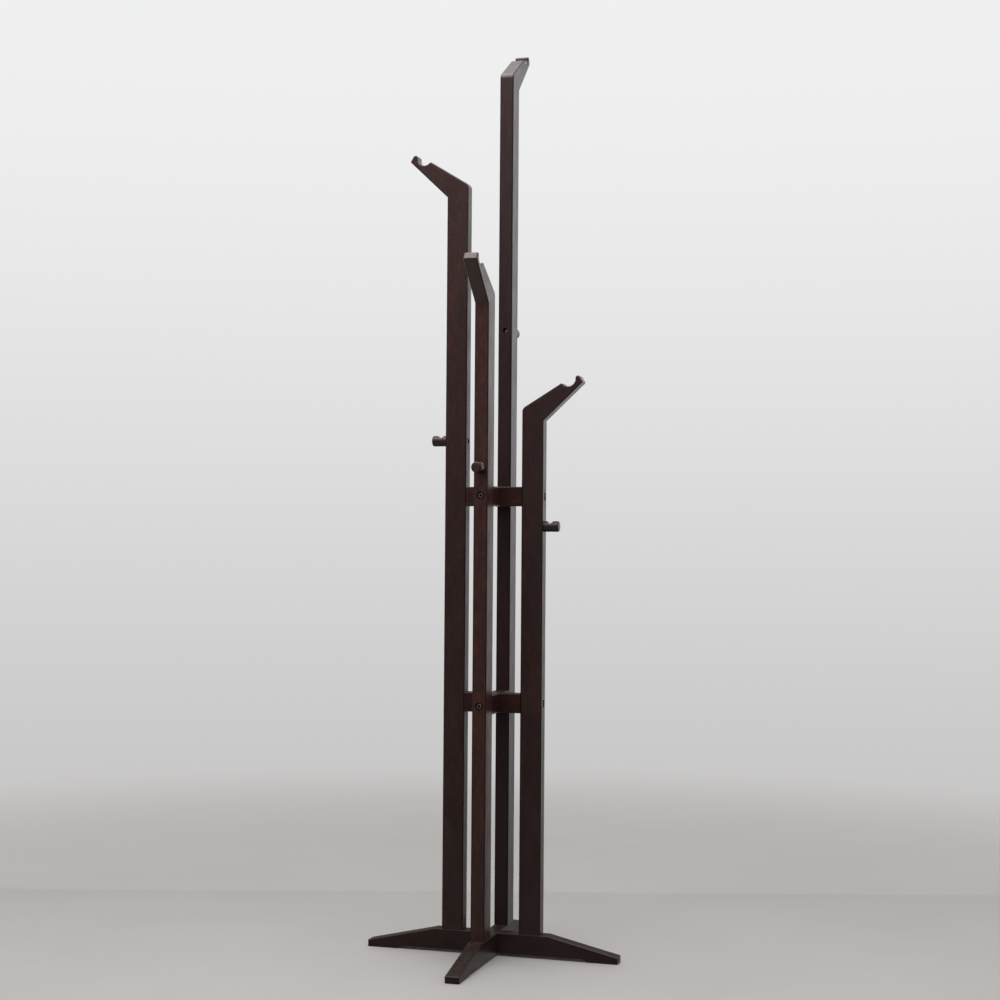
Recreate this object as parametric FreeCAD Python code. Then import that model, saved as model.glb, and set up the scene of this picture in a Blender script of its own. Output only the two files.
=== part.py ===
import FreeCAD, Part
import math
import os

from FreeCAD import Vector

# Standing coat rack. Four posts of different heights stand on a cross of two base
# beams. Two crosses of rails tie the posts together, each post ends in a mitred arm
# with a notch for a hanger, and one notched peg is screwed to each post.
#
# Frame: millimetres, +Z up, origin on the floor below the centre of the cross.
# Every member of one post is drawn on the +X side, with x as the distance from the
# rack's axis, and then turned about Z to the post's own side.

# ---------------------------------------------------------------- driving sizes
BOARD = 28.0              # thickness of all the timber
INNER_FACE = 57.0         # rack axis to the inner face of a post
POST_WIDTH = 43.0         # radial width of a post
POST_ROUND = 2.5          # rounding along the edges of posts and arms

SIDES = {                 # side: (turn about Z, height of the mitre's inner corner, peg height)
    "right": (0.0, 1066.0, 836.0),
    "back": (90.0, 1742.0, 1228.0),
    "left": (180.0, 1511.0, 1004.0),
    "front": (270.0, 1287.0, 947.0),
}

FOOT_REACH = 254.0        # rack axis to the tip of a foot
BEAM_HEIGHT = 45.0        # floor to the flat top of a base beam
FLAT_REACH = 114.0        # rack axis to where the beam's top starts to slope down
TIP_HEIGHT = 13.0         # height of the foot's end face
PAD_LENGTH = 58.0         # length of the pad that touches the floor
RELIEF = 5.0              # gap below the beam between the pads
RELIEF_RADIUS = 20.0      # cutter radius at the ends of that gap
BEAM_ROUND = 2.0

RAIL_HEIGHT = 38.0
RAIL_LEVELS = {"upper": 894.0, "lower": 491.0}   # heights of the rails' centre lines
RAIL_ROUND = 2.0

ARM_RISE = 31.5           # degrees that the arm's upper edge climbs
ARM_LENGTH = 129.5        # along the upper edge, from the mitre's corner to the end face
ARM_END_DEPTH = 21.0      # from the line of the upper edge down to the arm's lowest end corner
NOTCH_RADIUS = 14.5
NOTCH_CENTRE = 108.0      # along the upper edge
LIP_ROUND = 4.0           # where the upper edge turns down into the notch
PRONG_DROP = 4.0          # how far the prong stays below the line of the upper edge
END_CORNER_ROUND = 3.0
INNER_CORNER_ROUND = 12.0 # where an arm's upper edge meets its post's inner face

PEG_RADIUS = 10.5
PEG_LENGTH = 30.0
PEG_END_ROUND = 3.0
PEG_GROOVE_CENTRE = 12.5  # from the post's outer face
PEG_GROOVE_DEPTH = 7.0    # a right-angled groove across the peg's top
PEG_GROOVE_ROUND = 0.8

# ---------------------------------------------------------------- fasteners' sizes
FIT = 0.05                # radial play of a hidden piece in its hole
BOLT_RADIUS = 3.0         # M6 socket-head bolts
BOLT_HOLE = 3.3
RAIL_BOLT_LENGTH = 55.0
BASE_BOLT_LENGTH = 50.0
BOLT_SPARE = 3.0          # room in the wood past a bolt's end
HEAD_RADIUS = 5.0
HEAD_HEIGHT = 6.0
HEAD_EDGE = 0.6
HEAD_SINK = 7.0           # depth of the head's counterbore
HEAD_BORE = 7.5           # radius of the counterbores in the posts
BASE_BORE = 7.0           # radius of those under the base beams
SOCKET_ACROSS = 5.0       # hexagon across its flats
SOCKET_DEPTH = 3.0
INSERT_RADIUS = 5.0       # threaded insert in end grain
INSERT_LENGTH = 13.0

DOWEL_RADIUS = 4.0
DOWEL_CHAMFER = 1.0
ARM_DOWEL_LENGTH = 30.0
ARM_DOWEL_SPACING = 16.0
BASE_DOWEL_LENGTH = 40.0
BASE_DOWEL_SPACING = 24.0

SCREW_RADIUS = 2.2        # wood screws
SCREW_HEAD_RADIUS = 4.5
SCREW_HEAD_HEIGHT = 3.0
SCREW_HEAD_BORE = 5.0     # radius of the hole that sinks a screw's head
SCREW_POINT = 5.0
SCREW_TIP_RADIUS = 0.3
SCREW_SLOT_LENGTH = 5.4   # the two slots of the cross in the head
SCREW_SLOT_WIDTH = 1.2
SCREW_SLOT_DEPTH = 1.5
PEG_SCREW_LENGTH = 50.0
PEG_SCREW_SINK = 12.0
LAP_SCREW_LENGTH = 28.0
LAP_SCREW_SINK = 5.0

# ---------------------------------------------------------------- worked out
OUTER_FACE = INNER_FACE + POST_WIDTH
POST_CENTRE = INNER_FACE + POST_WIDTH / 2
RISE = math.radians(ARM_RISE)
MITRE = math.radians(90 - ARM_RISE) / 2      # how far the mitre slopes down, halving the corner
MITRE_DROP = POST_WIDTH * math.tan(MITRE)
MITRE_LENGTH = POST_WIDTH / math.cos(MITRE)

X = Vector(1, 0, 0)
Y = Vector(0, 1, 0)
Z = Vector(0, 0, 1)
ORIGIN = Vector(0, 0, 0)
ALONG_ARM = Vector(math.cos(RISE), 0, math.sin(RISE))
INTO_ARM = Vector(math.sin(RISE), 0, -math.cos(RISE))
ALONG_MITRE = Vector(math.cos(MITRE), 0, -math.sin(MITRE))
MITRE_NORMAL = Vector(math.sin(MITRE), 0, math.cos(MITRE))

NEAR = 0.01               # two places closer than this are the same
PARALLEL = 0.999          # cosine of two directions that count as one
CUT_OVER = 1.0            # how far a cutter runs past the surface


# ---------------------------------------------------------------- small helpers
def turned(shape, degrees):
    """A copy of a shape drawn on the +X side, turned about Z to another side."""
    copy = shape.copy()
    copy.rotate(ORIGIN, Z, degrees)
    return copy


def all_round(shape):
    """Copies of a shape on the four sides."""
    return [turned(shape, turn) for turn, _, _ in SIDES.values()]


def board(outline_edges):
    """A board whose outline lies in the XZ plane, centred on that plane."""
    face = Part.Face(Part.Wire(Part.__sortEdges__(outline_edges)))
    face.translate(Vector(0, -BOARD / 2, 0))
    return face.extrude(Vector(0, BOARD, 0))


def polygon_edges(points):
    """The straight edges of a closed outline."""
    loop = points + points[:1]
    return [Part.makeLine(a, b) for a, b in zip(loop, loop[1:])]


def rod(radius, length, start, direction):
    return Part.makeCylinder(radius, length, start, direction)


def drilled(solid, holes):
    """The solid with a list of holes cut out of it."""
    for hole in holes:
        solid = solid.cut(hole)
    return solid


def on_board_side(edge):
    """Whether an edge lies on one of the two broad sides of a board."""
    return abs(abs(edge.CenterOfMass.y) - BOARD / 2) < NEAR


def long_edges(solid, direction):
    """The straight edges of a solid that run along a direction."""
    straight = [edge for edge in solid.Edges if edge.Curve.TypeId == "Part::GeomLine"]
    return [edge for edge in straight if abs(edge.Curve.Direction.dot(direction)) > PARALLEL]


def round_edges_at(solid, place):
    """The closed round edges of a solid whose centre is at a place."""
    return [edge for edge in solid.Edges if edge.Closed and edge.CenterOfMass.isEqual(place, NEAR)]


# ---------------------------------------------------------------- fasteners
def socket_bolt(head_bottom, direction, length):
    """A socket-head bolt: its shank starts at head_bottom and runs along direction."""
    top = head_bottom - direction * HEAD_HEIGHT
    head = rod(HEAD_RADIUS, HEAD_HEIGHT, top, direction)
    head = head.makeChamfer(HEAD_EDGE, round_edges_at(head, top))
    corner = Y * (SOCKET_ACROSS / math.sqrt(3))
    corners = [top + FreeCAD.Rotation(direction, turn).multVec(corner) for turn in range(0, 360, 60)]
    hexagon = Part.Face(Part.Wire(polygon_edges(corners)))
    socket = hexagon.extrude(direction * SOCKET_DEPTH)
    shank = rod(BOLT_RADIUS, length, head_bottom, direction)
    return head.cut(socket).fuse(shank).removeSplitter()


def bolt_holes(face_point, direction, length, bore):
    """Counterbore and clearance hole of a socket bolt that enters at face_point."""
    return [rod(bore, HEAD_SINK, face_point, direction),
            rod(BOLT_HOLE, length, face_point, direction)]


def threaded_insert(mouth, direction):
    """A threaded insert: a ring whose mouth is flush with the end grain."""
    body = rod(INSERT_RADIUS, INSERT_LENGTH, mouth, direction)
    return body.cut(rod(BOLT_RADIUS + FIT, INSERT_LENGTH, mouth, direction))


def insert_holes(mouth, direction, bolt_reach):
    """The holes for an insert and for the bolt that reaches through it."""
    return [rod(INSERT_RADIUS + FIT, INSERT_LENGTH, mouth, direction),
            rod(BOLT_HOLE, bolt_reach + BOLT_SPARE, mouth, direction)]


def dowel(middle, direction, length):
    pin = rod(DOWEL_RADIUS, length, middle - direction * (length / 2), direction)
    rims = [edge for edge in pin.Edges if edge.Closed]
    return pin.makeChamfer(DOWEL_CHAMFER, rims)


def dowel_hole(middle, direction, length):
    half = length / 2 + FIT
    return rod(DOWEL_RADIUS + FIT, 2 * half, middle - direction * half, direction)


def wood_screw(head_bottom, direction, length):
    """A pan-head wood screw with a cross slot and a pointed end."""
    top = head_bottom - direction * SCREW_HEAD_HEIGHT
    head = rod(SCREW_HEAD_RADIUS, SCREW_HEAD_HEIGHT, top, direction)
    head = head.makeFillet(SCREW_HEAD_HEIGHT / 2, round_edges_at(head, top))
    onto_head = FreeCAD.Placement(top, FreeCAD.Rotation(Z, direction))
    for turn in (0.0, 90.0):
        slot = Part.makeBox(SCREW_SLOT_LENGTH, SCREW_SLOT_WIDTH, SCREW_SLOT_DEPTH,
                            Vector(-SCREW_SLOT_LENGTH / 2, -SCREW_SLOT_WIDTH / 2, 0))
        slot = turned(slot, turn)
        slot.Placement = onto_head.multiply(slot.Placement)
        head = head.cut(slot)
    point_start = head_bottom + direction * (length - SCREW_POINT)
    shank = rod(SCREW_RADIUS, length - SCREW_POINT, head_bottom, direction)
    point = Part.makeCone(SCREW_RADIUS, SCREW_TIP_RADIUS, SCREW_POINT, point_start, direction)
    return head.fuse([shank, point]).removeSplitter()


def screw_holes(face_point, direction, sink, length):
    """The hole that sinks a wood screw's head below a face, and its shank's hole."""
    return [rod(SCREW_HEAD_BORE, sink, face_point, direction),
            rod(SCREW_RADIUS + FIT, sink + length + CUT_OVER, face_point, direction)]


# ---------------------------------------------------------------- base
BASE_BOLT_HEAD = Vector(POST_CENTRE, 0, RELIEF + HEAD_SINK)


def beam_outline():
    """Side view of a base beam: flat in the middle, sloping to the tips, relieved below."""
    pad_start = FOOT_REACH - PAD_LENGTH
    arc_turn = math.acos(1 - RELIEF / RELIEF_RADIUS)
    flat_end = pad_start - RELIEF_RADIUS * math.sin(arc_turn)
    bulge_x = flat_end + RELIEF_RADIUS * math.sin(arc_turn / 2)
    bulge_z = RELIEF - RELIEF_RADIUS * (1 - math.cos(arc_turn / 2))
    edges = [Part.makeLine(Vector(-FLAT_REACH, 0, BEAM_HEIGHT), Vector(FLAT_REACH, 0, BEAM_HEIGHT)),
             Part.makeLine(Vector(-flat_end, 0, RELIEF), Vector(flat_end, 0, RELIEF))]
    for side in (1, -1):
        corners = [Vector(side * pad_start, 0, 0), Vector(side * FOOT_REACH, 0, 0),
                   Vector(side * FOOT_REACH, 0, TIP_HEIGHT), Vector(side * FLAT_REACH, 0, BEAM_HEIGHT)]
        edges += [Part.makeLine(a, b) for a, b in zip(corners, corners[1:])]
        arc = Part.Arc(Vector(side * flat_end, 0, RELIEF), Vector(side * bulge_x, 0, bulge_z), corners[0])
        edges.append(arc.toShape())
    return edges


def rounded_beam():
    """The beam with the edges of its top and of its end faces rounded, down to the pads."""
    beam = board(beam_outline())
    rounded = []
    for edge in beam.Edges:
        middle = edge.CenterOfMass
        at_tip = abs(abs(middle.x) - FOOT_REACH) < NEAR
        if middle.z > RELIEF + NEAR and (on_board_side(edge) or at_tip):
            rounded.append(edge)
    return beam.makeFillet(BEAM_ROUND, rounded)


def base_dowel_middles():
    return [Vector(POST_CENTRE + side * BASE_DOWEL_SPACING / 2, 0, BEAM_HEIGHT) for side in (-1, 1)]


def lap_cutter(low, high):
    """The block that takes out one beam's or rail's half of a lap joint."""
    return Part.makeBox(BOARD, BOARD, high - low, Vector(-BOARD / 2, -BOARD / 2, low))


def base_beam(turn, lap_from_top):
    """One beam of the cross, with its half of the lap joint and its holes."""
    middle = (RELIEF + BEAM_HEIGHT) / 2
    lap = lap_cutter(middle, BEAM_HEIGHT + CUT_OVER) if lap_from_top else lap_cutter(0, middle)
    foot_holes = bolt_holes(Vector(POST_CENTRE, 0, RELIEF), Z, BEAM_HEIGHT, BASE_BORE)
    foot_holes += [dowel_hole(point, Z, BASE_DOWEL_LENGTH) for point in base_dowel_middles()]
    holes = [turned(hole, half) for half in (0.0, 180.0) for hole in foot_holes]
    holes += screw_holes(Vector(0, 0, RELIEF), Z, LAP_SCREW_SINK, LAP_SCREW_LENGTH)
    return turned(drilled(rounded_beam().cut(lap), holes), turn)


# ---------------------------------------------------------------- posts
def arm_dowel_middles(top):
    """The middles of the two dowels in a mitre whose inner corner is at height top."""
    corner = Vector(INNER_FACE, 0, top)
    offsets = [MITRE_LENGTH / 2 + side * ARM_DOWEL_SPACING / 2 for side in (-1, 1)]
    return [corner + ALONG_MITRE * offset for offset in offsets]


def arm_dowel_holes(top):
    return [dowel_hole(point, MITRE_NORMAL, ARM_DOWEL_LENGTH) for point in arm_dowel_middles(top)]


def inner_corner_arc(outward):
    """Half of the inner corner's rounding, from the mitre to the face that looks outward.

    The sharp corner itself would lie at the origin.
    """
    centre = ALONG_MITRE * (INNER_CORNER_ROUND / math.cos(MITRE))
    middle = (outward - ALONG_MITRE).normalize()
    points = [centre + direction * INNER_CORNER_ROUND for direction in (-ALONG_MITRE, middle, outward)]
    return Part.Arc(*points).toShape()


def post_outline(top):
    rounding = inner_corner_arc(-X)
    rounding.translate(Vector(INNER_FACE, 0, top))
    points = [rounding.valueAt(rounding.LastParameter),
              Vector(INNER_FACE, 0, BEAM_HEIGHT), Vector(OUTER_FACE, 0, BEAM_HEIGHT),
              Vector(OUTER_FACE, 0, top - MITRE_DROP), rounding.valueAt(rounding.FirstParameter)]
    return [Part.makeLine(a, b) for a, b in zip(points, points[1:])] + [rounding]


def post(top, peg_height):
    """A post on the +X side: mitred at the top, rounded along its four long edges."""
    body = board(post_outline(top))
    body = body.makeFillet(POST_ROUND, long_edges(body, Z))
    foot = Vector(POST_CENTRE, 0, BEAM_HEIGHT)
    holes = insert_holes(foot, Z, BASE_BOLT_HEAD.z + BASE_BOLT_LENGTH - BEAM_HEIGHT)
    holes += [dowel_hole(point, Z, BASE_DOWEL_LENGTH) for point in base_dowel_middles()]
    holes += arm_dowel_holes(top)
    for level in RAIL_LEVELS.values():
        holes += bolt_holes(Vector(OUTER_FACE, 0, level), -X, POST_WIDTH, HEAD_BORE)
    holes += screw_holes(Vector(INNER_FACE, 0, peg_height), X, PEG_SCREW_SINK, PEG_SCREW_LENGTH)
    return drilled(body, holes)


# ---------------------------------------------------------------- arms
# An arm's outline is drawn with the mitre's inner corner at the origin: u follows the
# upper edge from there, and v goes into the arm, at right angles to that edge.
def arm_point(u, v):
    return ALONG_ARM * u + INTO_ARM * v


def arm_arc(u, v, radius, start, end):
    """An arc about (u, v) between two angles in degrees; 0 is along u and 90 along v."""
    points = []
    for angle in (start, (start + end) / 2, end):
        turn = math.radians(angle)
        points.append(arm_point(u + radius * math.cos(turn), v + radius * math.sin(turn)))
    return Part.Arc(*points).toShape()


def notch_arcs():
    """The lip, the notch and the prong: three arcs, each tangent to the next.

    The lip's arc starts on the upper edge, and the prong's ends on the arm's end face.
    """
    lip_distance = NOTCH_RADIUS + LIP_ROUND
    lip_u = NOTCH_CENTRE - math.sqrt(lip_distance ** 2 - LIP_ROUND ** 2)
    lip_angle = math.degrees(math.asin(LIP_ROUND / lip_distance))
    # The prong's radius follows from touching the notch, the end face and the line of its top.
    reach = ARM_LENGTH - NOTCH_CENTRE
    half_sum = reach + NOTCH_RADIUS - PRONG_DROP
    prong_round = half_sum - math.sqrt(half_sum ** 2 - reach ** 2 - PRONG_DROP ** 2 + NOTCH_RADIUS ** 2)
    prong_v = PRONG_DROP + prong_round
    prong_angle = math.degrees(math.atan2(prong_v, reach - prong_round))
    return [arm_arc(lip_u, LIP_ROUND, LIP_ROUND, -90, -lip_angle),
            arm_arc(NOTCH_CENTRE, 0, NOTCH_RADIUS, 180 - lip_angle, prong_angle),
            arm_arc(ARM_LENGTH - prong_round, prong_v, prong_round, 180 + prong_angle, 360)]


def end_corner_arc(bend_u, bend_v):
    """The rounded corner between the end face and the underside, which runs to the bend."""
    slope = math.atan2(bend_v - ARM_END_DEPTH, ARM_LENGTH - bend_u)
    centre_v = ARM_END_DEPTH - END_CORNER_ROUND * (1 - math.sin(slope)) / math.cos(slope)
    centre_u = ARM_LENGTH - END_CORNER_ROUND
    return arm_arc(centre_u, centre_v, END_CORNER_ROUND, 0, 90 - math.degrees(slope))


def arm_outline():
    """The whole outline of an arm, round from the mitre's inner corner."""
    bend_u = MITRE_LENGTH * math.cos(RISE + MITRE)
    bend_v = MITRE_LENGTH * math.sin(RISE + MITRE)
    arcs = [inner_corner_arc(-INTO_ARM)] + notch_arcs() + [end_corner_arc(bend_u, bend_v)]
    starts = [arc.valueAt(arc.FirstParameter) for arc in arcs]
    ends = [arc.valueAt(arc.LastParameter) for arc in arcs]
    bend = arm_point(bend_u, bend_v)
    lines = [Part.makeLine(ends[0], starts[1]), Part.makeLine(ends[3], starts[4]),
             Part.makeLine(ends[4], bend), Part.makeLine(bend, starts[0])]
    return lines + arcs


def arm(top):
    """An arm on the +X side, rounded all along its outline except at the mitre."""
    body = board(arm_outline())
    rounded = []
    for edge in body.Edges:
        on_mitre = abs(edge.CenterOfMass.dot(MITRE_NORMAL)) < NEAR
        if on_board_side(edge) and not on_mitre:
            rounded.append(edge)
    body = body.makeFillet(POST_ROUND, rounded)
    body.translate(Vector(INNER_FACE, 0, top))
    return drilled(body, arm_dowel_holes(top))


# ---------------------------------------------------------------- rails
def rail(turn, level, lap_from_top):
    """A rail through the rack's axis, with its half of the lap joint and its inserts' holes."""
    low = level - RAIL_HEIGHT / 2
    high = level + RAIL_HEIGHT / 2
    body = Part.makeBox(2 * INNER_FACE, BOARD, RAIL_HEIGHT, Vector(-INNER_FACE, -BOARD / 2, low))
    body = body.makeFillet(RAIL_ROUND, long_edges(body, X))
    lap = lap_cutter(level, high + CUT_OVER) if lap_from_top else lap_cutter(low - CUT_OVER, level)
    bolt_reach = RAIL_BOLT_LENGTH + HEAD_SINK - POST_WIDTH
    end_holes = insert_holes(Vector(INNER_FACE, 0, level), -X, bolt_reach)
    holes = [turned(hole, half) for half in (0.0, 180.0) for hole in end_holes]
    return turned(drilled(body.cut(lap), holes), turn)


# ---------------------------------------------------------------- pegs
def groove_cutter():
    """A right-angled wedge that cuts the groove across the top of a peg at height 0."""
    bottom = PEG_RADIUS - PEG_GROOVE_DEPTH
    reach = PEG_GROOVE_DEPTH + CUT_OVER
    side = PEG_RADIUS + CUT_OVER
    profile = [Vector(PEG_GROOVE_CENTRE - reach, -side, bottom + reach),
               Vector(PEG_GROOVE_CENTRE, -side, bottom),
               Vector(PEG_GROOVE_CENTRE + reach, -side, bottom + reach)]
    wedge = Part.Face(Part.Wire(polygon_edges(profile))).extrude(Vector(0, 2 * side, 0))
    lowest = [edge for edge in long_edges(wedge, Y) if edge.CenterOfMass.z < bottom + NEAR]
    return wedge.makeFillet(PEG_GROOVE_ROUND, lowest)


def peg(height):
    """A round peg on the +X side with a right-angled groove across its top."""
    body = rod(PEG_RADIUS, PEG_LENGTH, ORIGIN, X)
    body = body.makeFillet(PEG_END_ROUND, round_edges_at(body, X * PEG_LENGTH))
    body = body.cut(groove_cutter())
    body.translate(Vector(OUTER_FACE, 0, height))
    return drilled(body, screw_holes(Vector(INNER_FACE, 0, height), X, PEG_SCREW_SINK, PEG_SCREW_LENGTH))


# ---------------------------------------------------------------- the whole rack
def joined_up_nodes():
    """The dowels and screws whose places differ from side to side."""
    arm_dowels = []
    peg_screws = []
    for turn, top, peg_height in SIDES.values():
        for point in arm_dowel_middles(top):
            arm_dowels.append(turned(dowel(point, MITRE_NORMAL, ARM_DOWEL_LENGTH), turn))
        head = Vector(INNER_FACE + PEG_SCREW_SINK, 0, peg_height)
        peg_screws.append(turned(wood_screw(head, X, PEG_SCREW_LENGTH), turn))
    return {"arm_dowels": arm_dowels, "peg_screws": peg_screws}


def base_fasteners():
    dowels = []
    for point in base_dowel_middles():
        dowels += all_round(dowel(point, Z, BASE_DOWEL_LENGTH))
    lap_screw_head = Vector(0, 0, RELIEF + LAP_SCREW_SINK)
    return {"base_bolts": all_round(socket_bolt(BASE_BOLT_HEAD, Z, BASE_BOLT_LENGTH)),
            "post_inserts": all_round(threaded_insert(Vector(POST_CENTRE, 0, BEAM_HEIGHT), Z)),
            "base_dowels": dowels,
            "base_lap_screw": [wood_screw(lap_screw_head, Z, LAP_SCREW_LENGTH)]}


def rail_fasteners():
    found = {}
    for name, level in RAIL_LEVELS.items():
        head = Vector(OUTER_FACE - HEAD_SINK, 0, level)
        found[name + "_rail_bolts"] = all_round(socket_bolt(head, -X, RAIL_BOLT_LENGTH))
        found[name + "_rail_inserts"] = all_round(threaded_insert(Vector(INNER_FACE, 0, level), -X))
    return found


def timber():
    """Every wooden member but the dowels, by node name."""
    parts = {"base_beam_x": base_beam(0.0, True), "base_beam_y": base_beam(90.0, False)}
    for side, (turn, top, peg_height) in SIDES.items():
        parts["post_" + side] = turned(post(top, peg_height), turn)
        parts["arm_" + side] = turned(arm(top), turn)
        parts["peg_" + side] = turned(peg(peg_height), turn)
    for name, level in RAIL_LEVELS.items():
        parts[name + "_rail_x"] = rail(0.0, level, True)
        parts[name + "_rail_y"] = rail(90.0, level, False)
    return parts


def sub_parts():
    parts = timber()
    groups = {**base_fasteners(), **rail_fasteners(), **joined_up_nodes()}
    for node, solids in groups.items():
        parts[node] = Part.makeCompound(solids)
    return parts


os.makedirs("parts", exist_ok=True)
for node, shape in sub_parts().items():
    shape.exportStep(os.path.join("parts", node + ".step"))
    print(node, "solids", len(shape.Solids), "valid", shape.isValid(), "volume", round(shape.Volume))
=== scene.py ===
import math

import bmesh
import bpy
from mathutils import Matrix, Vector

# Standing coat rack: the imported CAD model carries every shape, and this script gives it
# its stained timber, steel, brass and beech, and sets the floor, the light and the camera.
# Lengths are in metres in the rack's frame: +Z up, origin on the floor below its centre.

# ---------------------------------------------------------------- camera and studio
CAMERA_DISTANCE = 3.569   # level distance from the rack's axis
CAMERA_AZIMUTH = 16.824   # degrees round from the front (-Y), towards +X
CAMERA_HEIGHT = 0.8126
CAMERA_HEADING = 16.682   # degrees that it looks round from +Y, towards -X
CAMERA_RISE = 1.202       # degrees that it looks up
CAMERA_ROLL = 0.419
CAMERA_LENS = 65.39
CAMERA_SENSOR = 36.0

FLOOR_RADIUS = 3.0
FLOOR_SOLID = 0.9         # inside this radius the floor is opaque; it fades out from here
FLOOR_SEGMENTS = 96
FLOOR_COLOUR = (0.60, 0.580, 0.560)
CARD_BEHIND = 0.62        # from the rack's axis
CARD_WIDTH = 3.0
CARD_HEIGHT = 2.6
CARD_FOOT = -0.6
CARD_LOW = (0.30, 0.295, 0.29)
CARD_HIGH = (1.02, 1.02, 1.04)

# Each member's grain frame: the direction along its fibres and the direction through
# the board's 28 mm thickness.
SIDE_DIRECTIONS = {
    "right": Vector((1, 0, 0)),
    "back": Vector((0, 1, 0)),
    "left": Vector((-1, 0, 0)),
    "front": Vector((0, -1, 0)),
}
UP = Vector((0, 0, 1))
ARM_RISE = math.radians(31.5)
MILLIMETRES = 1000.0
LOW_TONE_FULL_BELOW = 0.10         # the stain takes a duller, less red tone most below this height, and not above the next
LOW_TONE_GONE_ABOVE = 0.45

# The stain's colours.
BROWN = Vector((0.042, 0.0170, 0.0130))
RED = Vector((0.078, 0.0185, 0.0135))
PALE = Vector((0.090, 0.038, 0.026))
DARK = Vector((0.013, 0.0060, 0.0050))
OLIVE = Vector((0.040, 0.026, 0.0105))
PLUM = Vector((0.044, 0.0135, 0.0190))
ORANGE = Vector((0.105, 0.0300, 0.0140))
# The duller, less red brown that the stain takes close to the floor.
LOW_TONE = Vector((0.040, 0.0235, 0.0185))
WORN = Vector((0.075, 0.032, 0.022))
# Pale dust, which also serves as a painted sheen on the faces that look up.
DUST_AND_SHEEN = (0.42, 0.40, 0.37)

# The metals' colours: the clean metal, then its tarnish.
BOLT_COLOURS = ((0.22, 0.20, 0.19), (0.09, 0.075, 0.07))
RAIL_BOLT_COLOURS = ((0.31, 0.265, 0.25), (0.14, 0.11, 0.10))
SCREW_COLOURS = ((0.50, 0.50, 0.50), (0.30, 0.29, 0.28))
BRASS_COLOURS = ((0.72, 0.52, 0.24), (0.40, 0.26, 0.11))
# Grease and painted shade deep in the rail bolts' sockets; it fades in from the first radius below to
# the second.
SOCKET_GREASE_AND_SHADE = (0.01, 0.009, 0.008)
SOCKET_GREASE_SHADE_FROM = 98.4         # millimetres from the rack's axis, in the rail bolts' sockets
SOCKET_GREASE_SHADE_TO = 96.6


# ---------------------------------------------------------------- node helpers
class Graph:
    """A short way to write a material's or the world's nodes."""

    def __init__(self, owner):
        owner.use_nodes = True
        self.nodes = owner.node_tree.nodes
        self.links = owner.node_tree.links
        self.nodes.clear()

    def node(self, kind, inputs=None, **settings):
        made = self.nodes.new("ShaderNode" + kind)
        for name, value in settings.items():
            setattr(made, name, value)
        for socket, value in (inputs or {}).items():
            self.feed(made.inputs[socket], value)
        return made

    def feed(self, socket, value):
        """Gives a socket a value, or links an output to it."""
        if isinstance(value, bpy.types.NodeSocket):
            self.links.new(value, socket)
        else:
            socket.default_value = value

    def math(self, operation, a, b=0.0, c=0.0, clamp=False):
        made = self.node("Math", operation=operation, use_clamp=clamp)
        for socket, value in zip(made.inputs, (a, b, c)):
            self.feed(socket, value)
        return made.outputs[0]

    def spread(self, value, low, high, to_low=0.0, to_high=1.0):
        """A smooth step of a value from one range to another."""
        made = self.node("MapRange", {"Value": value, "From Min": low, "From Max": high,
                                      "To Min": to_low, "To Max": to_high},
                         interpolation_type="SMOOTHSTEP")
        return made.outputs["Result"]

    def mix(self, factor, a, b):
        """Blends two colours, each a socket or three numbers."""
        made = self.node("Mix", data_type="RGBA", blend_type="MIX")
        self.feed(made.inputs["Factor"], factor)
        self.feed(made.inputs["A"], a if isinstance(a, bpy.types.NodeSocket) else (*a, 1.0))
        self.feed(made.inputs["B"], b if isinstance(b, bpy.types.NodeSocket) else (*b, 1.0))
        return made.outputs["Result"]

    def noise(self, vector, scale, detail=3.0, roughness=0.55):
        made = self.node("TexNoise", {"Vector": vector, "Scale": scale, "Detail": detail,
                                      "Roughness": roughness})
        return made.outputs["Fac"]

    def stretched(self, vector, along, across, shift=0.0):
        """Coordinates in which a noise of scale 1 has these frequencies along and across."""
        made = self.node("Mapping", {"Vector": vector, "Location": (shift, shift, shift),
                                     "Scale": (along, across, across)})
        return made.outputs["Vector"]

    def dot(self, a, direction):
        made = self.node("VectorMath", {0: a, 1: direction}, operation="DOT_PRODUCT")
        return made.outputs["Value"]


def new_material(name):
    material = bpy.data.materials.new(name)
    return material, Graph(material)


def grain_frame(graph, along, through, shift):
    """Coordinates in millimetres: x along the fibres, z through the board's thickness."""
    across = through.cross(along)
    turn = Matrix((along, across, through)).to_euler()
    place = graph.node("TexCoord").outputs["Object"]
    made = graph.node("Mapping", {"Vector": place, "Location": shift, "Rotation": turn,
                                  "Scale": (MILLIMETRES,) * 3})
    return made.outputs["Vector"]


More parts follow.
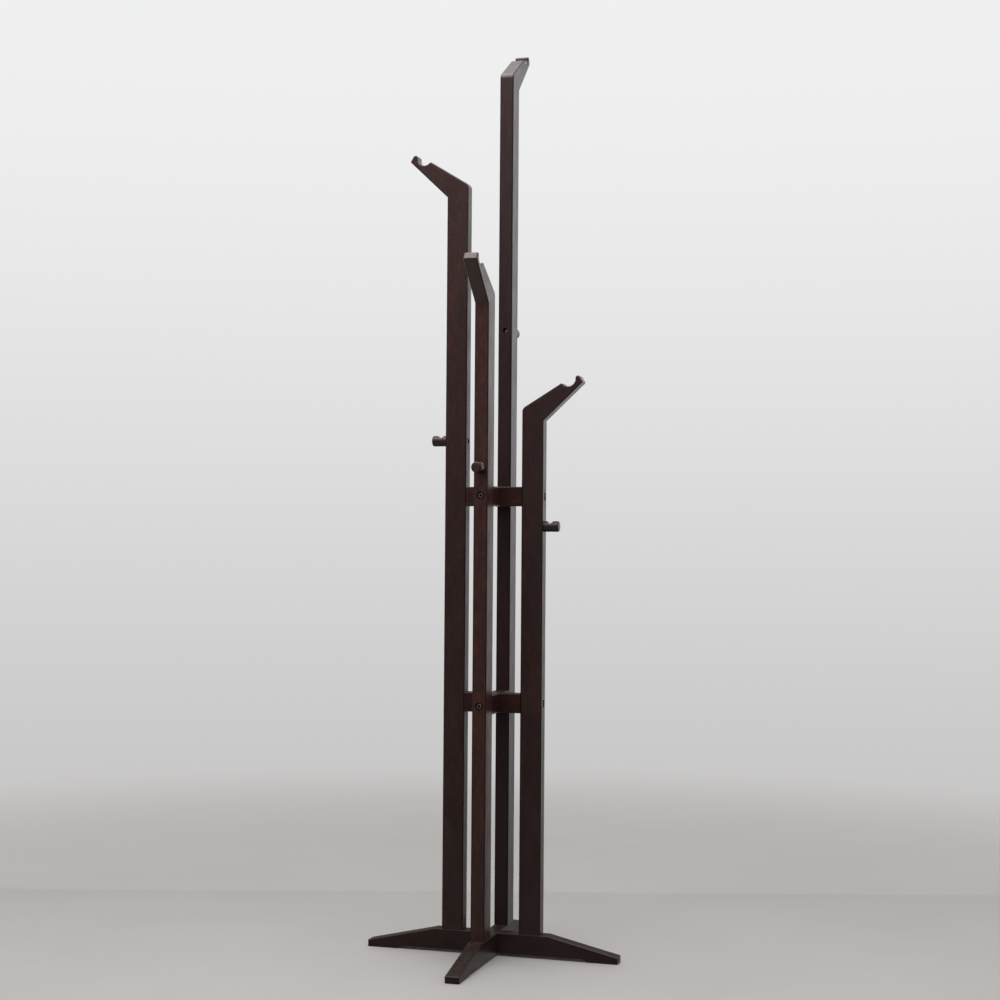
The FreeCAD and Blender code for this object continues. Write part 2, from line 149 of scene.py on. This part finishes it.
# ---------------------------------------------------------------- materials
def stained_wood(name, along, through, shift, redness, depth, worn):
    """Dark brown stain and satin lacquer over straight-grained timber.

    redness moves the stain from brown to red, depth scales how dark it is, and worn is how
    much of the lacquer's shine is gone where shoes and dirt reach it.
    """
    material, g = new_material(name)
    grain = grain_frame(g, along, through, shift)
    normal = g.node("NewGeometry").outputs["Normal"]

    # Broad clouds of stain, the yearly rings, and the fibres' streaks.
    clouds = g.noise(g.stretched(grain, 0.006, 0.035), 1.0, 3.0)
    slow = g.noise(g.stretched(grain, 0.0022, 0.02, 31.0), 1.0, 2.0)
    rings = g.node("TexWave", {"Vector": g.stretched(grain, 0.06, 1.0, 47.0), "Scale": 0.075,
                               "Distortion": 5.0, "Detail": 2.0, "Detail Scale": 0.9},
                   wave_type="RINGS", rings_direction="X").outputs["Fac"]
    fibres = g.noise(g.stretched(grain, 0.018, 0.9, 5.0), 1.0, 6.0, 0.62)
    threads = g.noise(g.stretched(grain, 0.05, 3.2, 17.0), 1.0, 3.0, 0.6)
    pores = g.noise(g.stretched(grain, 0.11, 2.6, 71.0), 1.0, 2.0, 0.5)
    pore_mask = g.spread(pores, 0.60, 0.72)

    pale, dark = PALE * depth, DARK * depth
    red_from = 0.5 - redness * 0.35
    red_to = 0.95 - redness * 0.35
    stain = g.mix(g.spread(slow, red_from, red_to), BROWN * depth, RED * depth)
    stain = g.mix(g.spread(clouds, 0.45, 0.85, 0.0, 0.5), stain, pale)
    stain = g.mix(g.spread(rings, 0.2, 0.95, 0.0, 0.30), stain, dark)

    # Blotches where the stain took more olive, plum or orange.
    blotch = g.stretched(grain, 0.045, 0.075, 53.0)
    olive = g.spread(g.noise(blotch, 1.0, 3.0, 0.55), 0.47, 0.66, 0.0, 0.62)
    plum_clouds = g.noise(g.stretched(grain, 0.035, 0.09, 83.0), 1.0, 3.0, 0.55)
    plum = g.spread(plum_clouds, 0.44, 0.62, 0.0, 0.85)
    orange_clouds = g.noise(g.stretched(grain, 0.05, 0.16, 29.0), 1.0, 3.0, 0.6)
    orange = g.spread(orange_clouds, 0.56 - redness * 0.10, 0.78 - redness * 0.10, 0.0, 0.85)
    stain = g.mix(olive, stain, OLIVE * depth)
    stain = g.mix(plum, stain, PLUM * depth)
    stain = g.mix(orange, stain, ORANGE * depth)

    # Close to the floor, the stain is blended towards a duller, less red brown.
    height = g.node("SeparateXYZ", {"Vector": g.node("TexCoord").outputs["Object"]}).outputs["Z"]
    low_tone_mask = g.spread(height, LOW_TONE_FULL_BELOW, LOW_TONE_GONE_ABOVE, 0.65, 0.0)
    stain = g.mix(low_tone_mask, stain, LOW_TONE * depth)
    stain = g.mix(g.spread(fibres, 0.42, 0.70, 0.0, 0.55), stain, dark)
    stain = g.mix(g.spread(threads, 0.48, 0.78, 0.0, 0.30), stain, pale)
    stain = g.mix(g.math("MULTIPLY", pore_mask, 0.7), stain, dark)

    # The lacquer on the rounded edges was sanded, so they are duller, and painted shade darkens them.
    face = g.math("ABSOLUTE", g.dot(normal, through))
    on_round = g.math("MULTIPLY", g.math("MULTIPLY", face, g.math("SUBTRACT", 1.0, face)), 4.0)
    wear_noise = g.spread(g.noise(g.stretched(grain, 0.03, 0.3, 11.0), 1.0, 4.0), 0.45, 0.7)
    stain = g.mix(g.math("MULTIPLY", on_round, 0.75), stain, dark)
    wear = g.math("MULTIPLY", g.math("MULTIPLY", on_round, wear_noise), 0.30)
    stain = g.mix(wear, stain, WORN * depth)

    # A little dust, and a pale painted sheen, lie on the faces that look up.
    facing_up = g.spread(g.dot(normal, UP), 0.6, 1.0)
    dust_and_sheen_noise = g.spread(g.noise(g.stretched(grain, 0.05, 0.09, 3.0), 1.0, 5.0), 0.35, 0.75)
    dust_and_sheen = g.math("MULTIPLY", g.math("MULTIPLY", facing_up, dust_and_sheen_noise), 0.05)
    stain = g.mix(dust_and_sheen, stain, DUST_AND_SHEEN)

    smear = g.noise(g.stretched(grain, 0.02, 0.05, 23.0), 1.0, 4.0)
    roughness = g.spread(smear, 0.3, 0.75, 0.30, 0.42)
    roughness = g.math("ADD", roughness, g.math("MULTIPLY", pore_mask, 0.12))
    roughness = g.math("ADD", roughness, g.math("MULTIPLY", dust_and_sheen, 1.5), clamp=True)

    relief = g.math("MULTIPLY", g.math("SUBTRACT", 1.0, pore_mask), 0.6)
    relief = g.math("ADD", relief, g.math("MULTIPLY", fibres, 0.5))
    relief = g.math("ADD", relief, g.math("MULTIPLY", smear, 0.4))
    bump = g.node("Bump", {"Strength": 0.35, "Distance": 0.00012, "Height": relief})
    shader = g.node("BsdfPrincipled", {"Base Color": stain, "Roughness": roughness,
                                       "Normal": bump.outputs["Normal"], "IOR": 1.5,
                                       "Coat Weight": 0.15, "Coat Roughness": 0.22})
    matte = g.node("BsdfDiffuse", {"Color": stain, "Normal": bump.outputs["Normal"]})
    dull = g.math("MULTIPLY", g.math("ADD", facing_up, 0.6), worn, clamp=True)
    dull = g.math("MAXIMUM", dull, g.math("MULTIPLY", on_round, 0.55))
    both = g.node("MixShader", {0: dull, 1: shader.outputs["BSDF"], 2: matte.outputs["BSDF"]})
    g.node("OutputMaterial", {"Surface": both.outputs["Shader"]})
    return material


def metal(name, colours, roughness, socket_grease_and_shade=False):
    """Plated metal with fine turning marks and darker tarnish in patches.

    If asked, grease and painted shade darken the metal deep in the sockets of a bolt that points away
    from the rack's axis.
    """
    colour, tarnish = colours
    material, g = new_material(name)
    place = g.node("TexCoord").outputs["Object"]
    fine = g.node("Mapping", {"Vector": place, "Scale": (MILLIMETRES,) * 3}).outputs["Vector"]
    patches = g.noise(fine, 0.55, 4.0)
    scratches = g.noise(g.stretched(fine, 0.4, 6.0), 1.0, 4.0)
    base = g.mix(g.spread(patches, 0.4, 0.75, 0.0, 0.7), colour, tarnish)
    if socket_grease_and_shade:
        apart = g.node("SeparateXYZ", {"Vector": fine})
        out_x = g.math("ABSOLUTE", apart.outputs["X"])
        out_y = g.math("ABSOLUTE", apart.outputs["Y"])
        # Painted shade, with grease, darkens the metal deep in the sockets.
        socket_unshaded = g.spread(g.math("MAXIMUM", out_x, out_y), SOCKET_GREASE_SHADE_TO, SOCKET_GREASE_SHADE_FROM)
        base = g.mix(socket_unshaded, SOCKET_GREASE_AND_SHADE, base)
    rough = g.spread(scratches, 0.3, 0.8, roughness - 0.08, roughness + 0.14)
    bump = g.node("Bump", {"Strength": 0.2, "Distance": 0.00003, "Height": scratches})
    shader = g.node("BsdfPrincipled", {"Base Color": base, "Metallic": 1.0, "Roughness": rough,
                                       "Normal": bump.outputs["Normal"]})
    g.node("OutputMaterial", {"Surface": shader.outputs["BSDF"]})
    return material


def raw_beech(name):
    """Unfinished dowel wood: pale, with short darker flecks."""
    material, g = new_material(name)
    place = g.node("TexCoord").outputs["Object"]
    fine = g.node("Mapping", {"Vector": place, "Scale": (MILLIMETRES,) * 3}).outputs["Vector"]
    clouds = g.noise(g.stretched(fine, 0.05, 0.05), 1.0, 3.0)
    flecks = g.noise(g.stretched(fine, 1.8, 1.8, 9.0), 1.0, 3.0)
    base = g.mix(g.spread(clouds, 0.3, 0.8), (0.50, 0.33, 0.20), (0.62, 0.44, 0.28))
    base = g.mix(g.spread(flecks, 0.55, 0.75, 0.0, 0.5), base, (0.30, 0.17, 0.09))
    rough = g.spread(flecks, 0.3, 0.8, 0.60, 0.75)
    bump = g.node("Bump", {"Strength": 0.3, "Distance": 0.0001, "Height": flecks})
    shader = g.node("BsdfPrincipled", {"Base Color": base, "Roughness": rough,
                                       "Normal": bump.outputs["Normal"]})
    g.node("OutputMaterial", {"Surface": shader.outputs["BSDF"]})
    return material


def finish_node(node, material):
    """Puts a material into every slot of a CAD node."""
    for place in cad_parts[node].material_slots:
        place.material = material


def board_finishes():
    """Each wooden node's fibres, thickness direction, redness, depth of stain and wear."""
    redness = {"right": 0.25, "back": 0.05, "left": 0.50, "front": 0.95}
    depth = {"right": 0.90, "back": 0.85, "left": 1.00, "front": 1.15}
    boards = {}
    for side, outward in SIDE_DIRECTIONS.items():
        through = UP.cross(outward)
        arm_along = outward * math.cos(ARM_RISE) + UP * math.sin(ARM_RISE)
        boards["post_" + side] = (UP, through, redness[side], depth[side], 0.0)
        boards["arm_" + side] = (arm_along, through, redness[side], depth[side], 0.0)
        boards["peg_" + side] = (outward, through, redness[side], depth[side], 0.0)
    for axis, along in (("x", Vector((1, 0, 0))), ("y", Vector((0, 1, 0)))):
        through = UP.cross(along)
        boards["base_beam_" + axis] = (along, through, 0.0, 0.78, 0.45)
        boards["upper_rail_" + axis] = (along, through, 0.60, 1.05, 0.40)
        boards["lower_rail_" + axis] = (along, through, 0.35, 0.90, 0.45)
    return boards


def finish_rack():
    for index, (node, board) in enumerate(sorted(board_finishes().items())):
        shift = (137.0 * index, 61.0 + 23.0 * index, 40.0 + 31.0 * index)
        along, through, redness, depth, worn = board
        finish_node(node, stained_wood("wood_" + node, along, through, shift, redness, depth, worn))
    steel = metal("bolt_steel", BOLT_COLOURS, 0.34)
    rail_steel = metal("rail_bolt_steel", RAIL_BOLT_COLOURS, 0.36, socket_grease_and_shade=True)
    screw_steel = metal("screw_steel", SCREW_COLOURS, 0.30)
    brass = metal("insert_brass", BRASS_COLOURS, 0.32)
    beech = raw_beech("dowel_beech")
    groups = {"upper_rail_bolts": rail_steel, "lower_rail_bolts": rail_steel, "base_bolts": steel,
              "peg_screws": screw_steel, "base_lap_screw": screw_steel,
              "upper_rail_inserts": brass, "lower_rail_inserts": brass, "post_inserts": brass,
              "base_dowels": beech, "arm_dowels": beech}
    for node, material in groups.items():
        finish_node(node, material)


# ---------------------------------------------------------------- stage
def make_floor():
    """A pale round floor that fades out into the background."""
    mesh = bpy.data.meshes.new("floor")
    shape = bmesh.new()
    bmesh.ops.create_circle(shape, cap_ends=True, segments=FLOOR_SEGMENTS, radius=FLOOR_RADIUS)
    shape.to_mesh(mesh)
    shape.free()
    floor = bpy.data.objects.new("floor", mesh)
    bpy.context.scene.collection.objects.link(floor)
    material, g = new_material("floor")
    place = g.node("TexCoord").outputs["Object"]
    radius = g.node("VectorMath", {0: place}, operation="LENGTH").outputs["Value"]
    fade = g.spread(radius, FLOOR_SOLID, FLOOR_RADIUS)
    cloud = g.noise(place, 3.0, 4.0)
    colour = g.mix(g.spread(cloud, 0.2, 0.8), FLOOR_COLOUR, tuple(0.95 * part for part in FLOOR_COLOUR))
    diffuse = g.node("BsdfPrincipled", {"Base Color": colour, "Roughness": 0.65})
    clear = g.node("BsdfTransparent")
    both = g.node("MixShader", {0: fade, 1: diffuse.outputs["BSDF"], 2: clear.outputs["BSDF"]})
    g.node("OutputMaterial", {"Surface": both.outputs["Shader"]})
    mesh.materials.append(material)
    floor.visible_glossy = False
    floor.visible_diffuse = False


def make_world():
    """A pale backdrop for the camera, and the dim room that the rack itself reflects."""
    world = bpy.data.worlds.new("studio")
    bpy.context.scene.world = world
    g = Graph(world)
    direction = g.node("TexCoord").outputs["Generated"]
    height = g.dot(direction, UP)
    backdrop = g.mix(g.spread(height, -0.30, 0.30), (0.51, 0.50, 0.495), (0.87, 0.872, 0.88))
    low_room = g.mix(g.spread(height, -0.08, 0.40), (0.075, 0.073, 0.072), (0.62, 0.56, 0.60))
    low_room = g.mix(g.spread(height, -0.60, -0.22), (0.42, 0.40, 0.385), low_room)
    mirrored = g.mix(g.spread(height, 0.35, 0.90), low_room, (2.1, 2.1, 2.12))
    ambient = g.mix(g.spread(height, -0.30, 0.60), (0.13, 0.122, 0.115), (0.46, 0.455, 0.45))
    room = g.mix(g.node("LightPath").outputs["Is Glossy Ray"], ambient, mirrored)
    seen = g.node("LightPath").outputs["Is Camera Ray"]
    colour = g.mix(seen, room, backdrop)
    background = g.node("Background", {"Color": colour, "Strength": 1.0})
    g.node("OutputWorld", {"Surface": background.outputs["Background"]})


def make_bounce_card():
    """A tall pale card close behind the rack, seen only in what the rack reflects."""
    mesh = bpy.data.meshes.new("bounce_card")
    turn = math.radians(CAMERA_AZIMUTH)
    away = Vector((-math.sin(turn), math.cos(turn), 0)) * CARD_BEHIND
    side = Vector((math.cos(turn), math.sin(turn), 0)) * CARD_WIDTH / 2
    corners = [away - side + UP * CARD_FOOT, away + side + UP * CARD_FOOT,
               away + side + UP * CARD_HEIGHT, away - side + UP * CARD_HEIGHT]
    mesh.from_pydata(corners, [], [(0, 1, 2, 3)])
    card = bpy.data.objects.new("bounce_card", mesh)
    bpy.context.scene.collection.objects.link(card)
    card.visible_camera = False
    card.visible_diffuse = False
    card.visible_shadow = False
    material, g = new_material("bounce_card")
    place = g.node("TexCoord").outputs["Object"]
    colour = g.mix(g.spread(g.dot(place, UP), -0.30, 1.50), CARD_LOW, CARD_HIGH)
    glow = g.node("Emission", {"Color": colour, "Strength": 1.0})
    g.node("OutputMaterial", {"Surface": glow.outputs["Emission"]})
    mesh.materials.append(material)


def area_light(name, place, aim, size, power):
    """A soft rectangular light at a place, turned towards an aim."""
    data = bpy.data.lights.new(name, "AREA")
    data.shape = "RECTANGLE"
    data.size, data.size_y = size
    data.energy = power
    light = bpy.data.objects.new(name, data)
    light.location = place
    light.rotation_mode = "QUATERNION"
    light.rotation_quaternion = (Vector(aim) - Vector(place)).to_track_quat("-Z", "Y")
    bpy.context.scene.collection.objects.link(light)


def make_camera():
    """The camera, at about the height of the lowest peg and turned a little off the rack's axis."""
    azimuth, heading = math.radians(CAMERA_AZIMUTH), math.radians(CAMERA_HEADING)
    rise, roll = math.radians(CAMERA_RISE), math.radians(CAMERA_ROLL)
    level = Vector((-math.sin(heading), math.cos(heading), 0))
    forward = level * math.cos(rise) + UP * math.sin(rise)
    right = forward.cross(UP).normalized()
    up = right.cross(forward)
    rolled_right = right * math.cos(roll) + up * math.sin(roll)
    rolled_up = up * math.cos(roll) - right * math.sin(roll)
    place = Vector((math.sin(azimuth), -math.cos(azimuth), 0)) * CAMERA_DISTANCE
    place.z = CAMERA_HEIGHT
    data = bpy.data.cameras.new("camera")
    data.lens = CAMERA_LENS
    data.sensor_width = CAMERA_SENSOR
    camera = bpy.data.objects.new("camera", data)
    axes = Matrix((rolled_right, rolled_up, -forward)).transposed()
    camera.matrix_world = Matrix.Translation(place) @ axes.to_4x4()
    bpy.context.scene.collection.objects.link(camera)
    bpy.context.scene.camera = camera


# ---------------------------------------------------------------- the scene
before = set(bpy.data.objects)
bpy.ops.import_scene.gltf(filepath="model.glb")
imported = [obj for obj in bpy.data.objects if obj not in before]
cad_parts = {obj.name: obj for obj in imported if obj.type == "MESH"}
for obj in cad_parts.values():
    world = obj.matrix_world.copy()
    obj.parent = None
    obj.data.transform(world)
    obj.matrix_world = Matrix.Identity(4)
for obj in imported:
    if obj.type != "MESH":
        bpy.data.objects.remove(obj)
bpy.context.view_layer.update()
bpy.context.scene.view_settings.view_transform = "Standard"
make_camera()
make_world()
make_floor()
make_bounce_card()
area_light("overhead", (0.0, -0.5, 2.75), (0.0, -0.5, 0.0), (2.0, 2.0), 33.0)
finish_rack()
